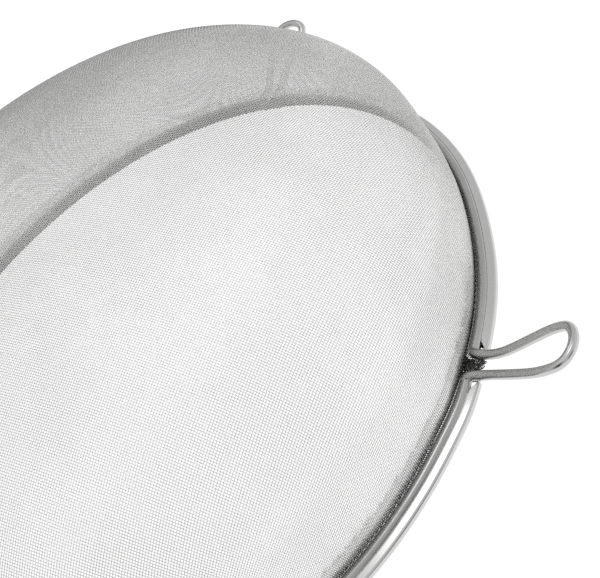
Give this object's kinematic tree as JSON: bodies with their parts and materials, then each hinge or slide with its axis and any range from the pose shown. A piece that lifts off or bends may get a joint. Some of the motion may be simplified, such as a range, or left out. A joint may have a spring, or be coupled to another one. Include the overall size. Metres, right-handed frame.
{
  "type": "kitchen strainer",
  "caption": "Fine woven-wire dome strainer with a folded steel rim, two wire resting ears and a tilted tubular handle with a hanging loop.",
  "frame": {"origin": "on the plane the rim lies on, under the middle of the whole outline from the rim's front edge to the end of the hanging loop; the bowl's axis is 79 mm further along +Y", "axes": "+Z along the bowl's axis, from the open rim to the crown of the dome; the handle points along -Y and the two ears point forward, to each side of +Y"},
  "size_m": [0.2598, 0.4181, 0.0866],
  "materials": {
    "wire_cloth": "fine plain-woven stainless wire",
    "rim_sheet": "polished stainless sheet",
    "round_wire": "bright drawn stainless wire",
    "handle_steel": "satin stainless tube"
  },
  "bodies": {
    "root": {"mesh_bowl": "wire_cloth", "hoop_wire": "round_wire", "rim_channel_front": "rim_sheet", "rim_channel_right": "rim_sheet", "rim_channel_left": "rim_sheet", "handle_ferrule": "handle_steel", "handle_tube": "handle_steel", "handle_end_plug": "handle_steel", "hang_loop": "round_wire"}
  },
  "joints": []
}
